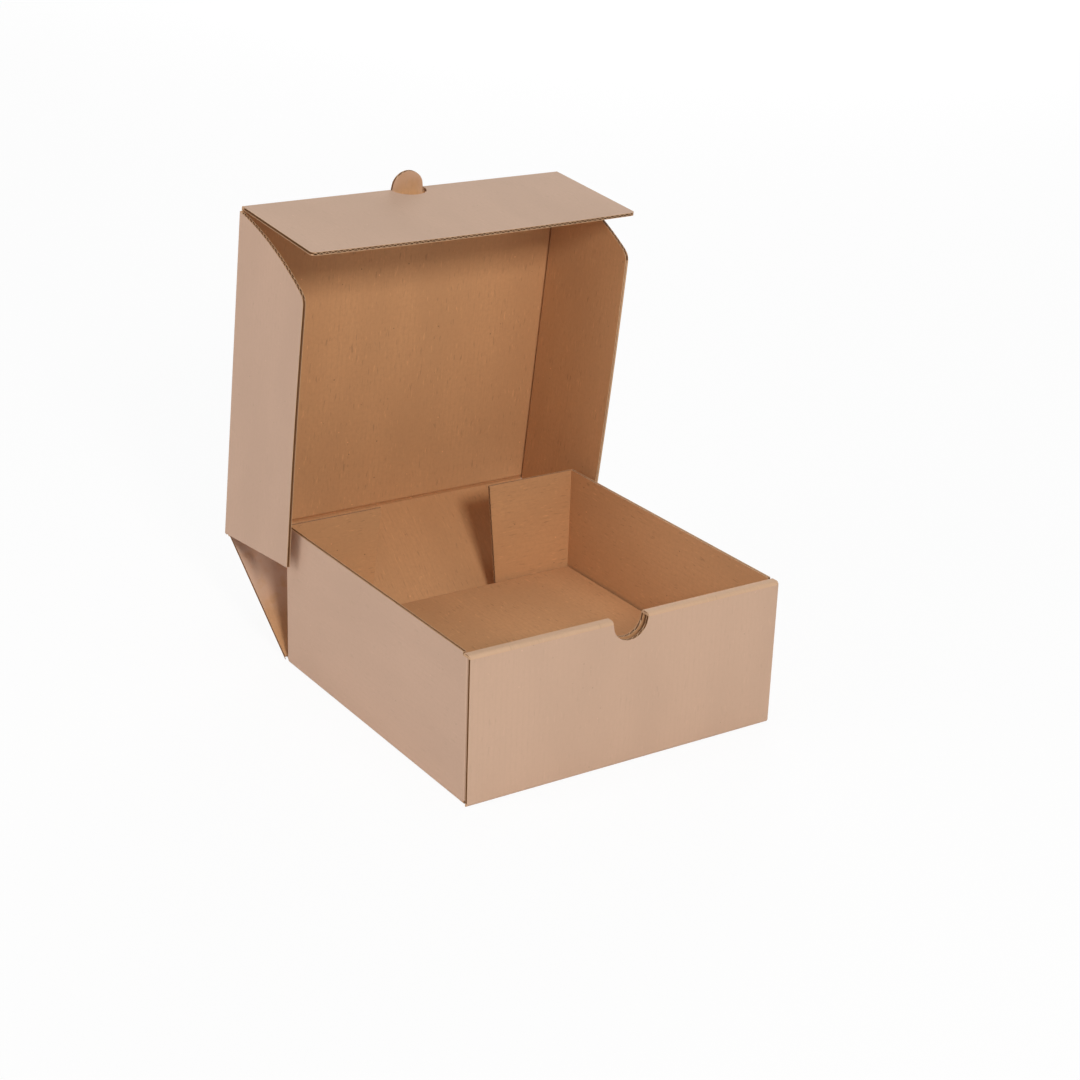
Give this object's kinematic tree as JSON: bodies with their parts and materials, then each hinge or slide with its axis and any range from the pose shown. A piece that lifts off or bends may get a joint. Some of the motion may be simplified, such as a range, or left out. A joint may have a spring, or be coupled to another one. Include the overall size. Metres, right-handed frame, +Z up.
{
  "type": "shipping box",
  "caption": "Open folded card box: tray with rolled front and thumb notch, raised floor sheet, hinged back wall and lid with curved ears and a front flap.",
  "frame": {"origin": "middle of the tray's underside, on the surface that the box stands on", "axes": "+Z up, -Y towards the front wall with the thumb notch, +X to the right seen from the front"},
  "size_m": [0.2098, 0.2655, 0.2716],
  "materials": {
    "card_outside": "matt brown outer liner",
    "card_inside": "matt warm brown inner liner"
  },
  "bodies": {
    "tray_body": {"tray": "card_outside", "raised_floor": "card_inside"},
    "back_wall": {"back_wall": "card_outside"},
    "lid": {"lid": "card_inside"},
    "front_flap": {"front_flap": "card_outside"},
    "left_ear": {"left_ear": "card_outside"},
    "right_ear": {"right_ear": "card_outside"}
  },
  "joints": [
    {"name": "back_wall_fold", "type": "hinge", "parent": "tray_body", "child": "back_wall", "pos_m": [0, 0.10005, 0.00095], "axis": [-1, 0, 0], "range_deg": [-48, 42]},
    {"name": "lid_fold", "type": "hinge", "parent": "back_wall", "child": "lid", "pos_m": [0, 0.16351, 0.05809], "axis": [-1, 0, 0], "range_deg": [-34, 56]},
    {"name": "front_flap_fold", "type": "hinge", "parent": "lid", "child": "front_flap", "pos_m": [0, 0.13512, 0.26011], "axis": [-1, 0, 0], "range_deg": [-3, 87]},
    {"name": "left_ear_fold", "type": "hinge", "parent": "lid", "child": "left_ear", "pos_m": [-0.10395, 0.16351, 0.05809], "axis": [0, 0.1392, -0.9903], "range_deg": [0, 90]},
    {"name": "right_ear_fold", "type": "hinge", "parent": "lid", "child": "right_ear", "pos_m": [0.10395, 0.16351, 0.05809], "axis": [0, -0.1392, 0.9903], "range_deg": [0, 90]}
  ]
}
